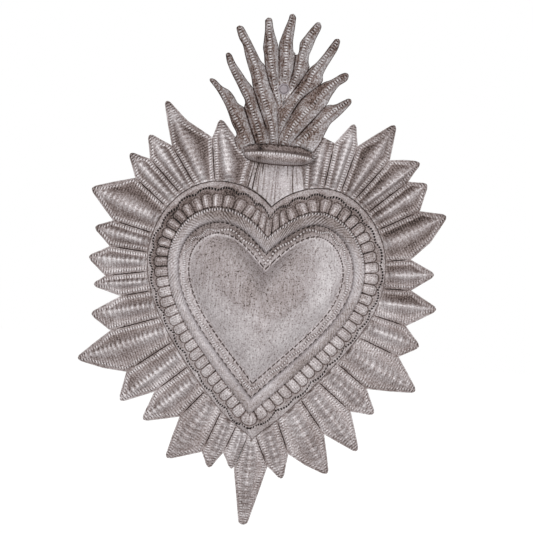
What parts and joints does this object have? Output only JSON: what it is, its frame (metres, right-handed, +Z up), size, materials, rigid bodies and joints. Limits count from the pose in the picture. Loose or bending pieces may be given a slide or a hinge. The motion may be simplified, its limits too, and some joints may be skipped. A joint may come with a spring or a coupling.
{
  "type": "sacred heart wall hanging",
  "caption": "Chased sheet-metal heart with a domed middle, pointed rays around it and flames above a collar; hangs on a wall by a ring behind the flames.",
  "frame": {"origin": "on the wall behind the hanger rivet, on the heart's own axis", "axes": "+Z up along the heart's axis towards the flames, -Y out of the wall into the room, +X to the right as seen from the room"},
  "size_m": [0.3516, 0.0254, 0.512],
  "materials": {
    "ray_plate": "chased sheet steel, brown patina in the recesses, satin",
    "heart_frame": "chased sheet steel, brown patina in the recesses, satin",
    "rope_moulding": "fluted sheet steel, rubbed bright on its crown, satin",
    "heart_dome": "hammered and brushed sheet steel, thin brown patina, satin",
    "neck_plate": "scribed sheet steel, rubbed bright, satin",
    "collar_band": "chased sheet steel, brown patina in the groove, satin",
    "flame_spray": "chased sheet steel, brown patina towards the tips, satin",
    "rivet_washer": "plain sheet steel, satin",
    "hanger_rivet": "flat steel head, satin",
    "hanger_strap": "folded sheet steel, satin",
    "hanging_ring": "bent steel wire, satin"
  },
  "bodies": {
    "plaque": {"ray_plate": "ray_plate", "heart_frame": "heart_frame", "rope_moulding": "rope_moulding", "heart_dome": "heart_dome", "neck_plate": "neck_plate", "collar_band": "collar_band", "flame_spray": "flame_spray", "rivet_washer": "rivet_washer", "hanger_rivet": "hanger_rivet", "hanger_strap": "hanger_strap"},
    "ring": {"hanging_ring": "hanging_ring"}
  },
  "joints": [
    {"name": "ring_swing", "type": "hinge", "parent": "plaque", "child": "ring", "pos_m": [0.002, -0.00399, 0.00753], "axis": [1, 0, 0], "range_deg": [0, 180]}
  ]
}
